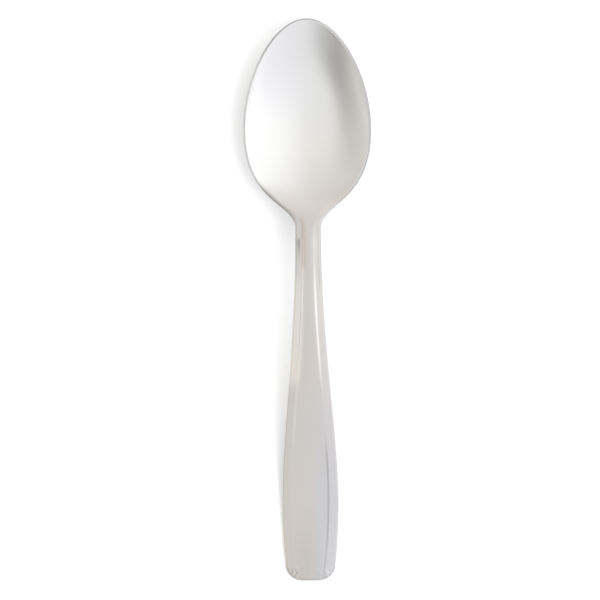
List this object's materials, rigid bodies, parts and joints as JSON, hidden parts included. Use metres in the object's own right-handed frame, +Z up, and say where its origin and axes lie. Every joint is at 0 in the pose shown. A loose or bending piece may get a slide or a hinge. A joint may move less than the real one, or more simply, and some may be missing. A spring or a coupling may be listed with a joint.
{
  "type": "teaspoon",
  "caption": "Stainless steel teaspoon stamped in one piece, with an egg-shaped bowl, a slim neck and an arched handle that widens to a blunt end and has a flat panel between side bevels.",
  "frame": {"origin": "centre of the spoon's footprint, on the table that it lies on with the bowl open upward", "axes": "+Y along the spoon from the handle to the tip of the bowl, +Z up, +X across"},
  "size_m": [0.0314, 0.138, 0.012],
  "materials": {
    "steel": "polished"
  },
  "bodies": {
    "root": {"spoon": "steel"}
  },
  "joints": []
}
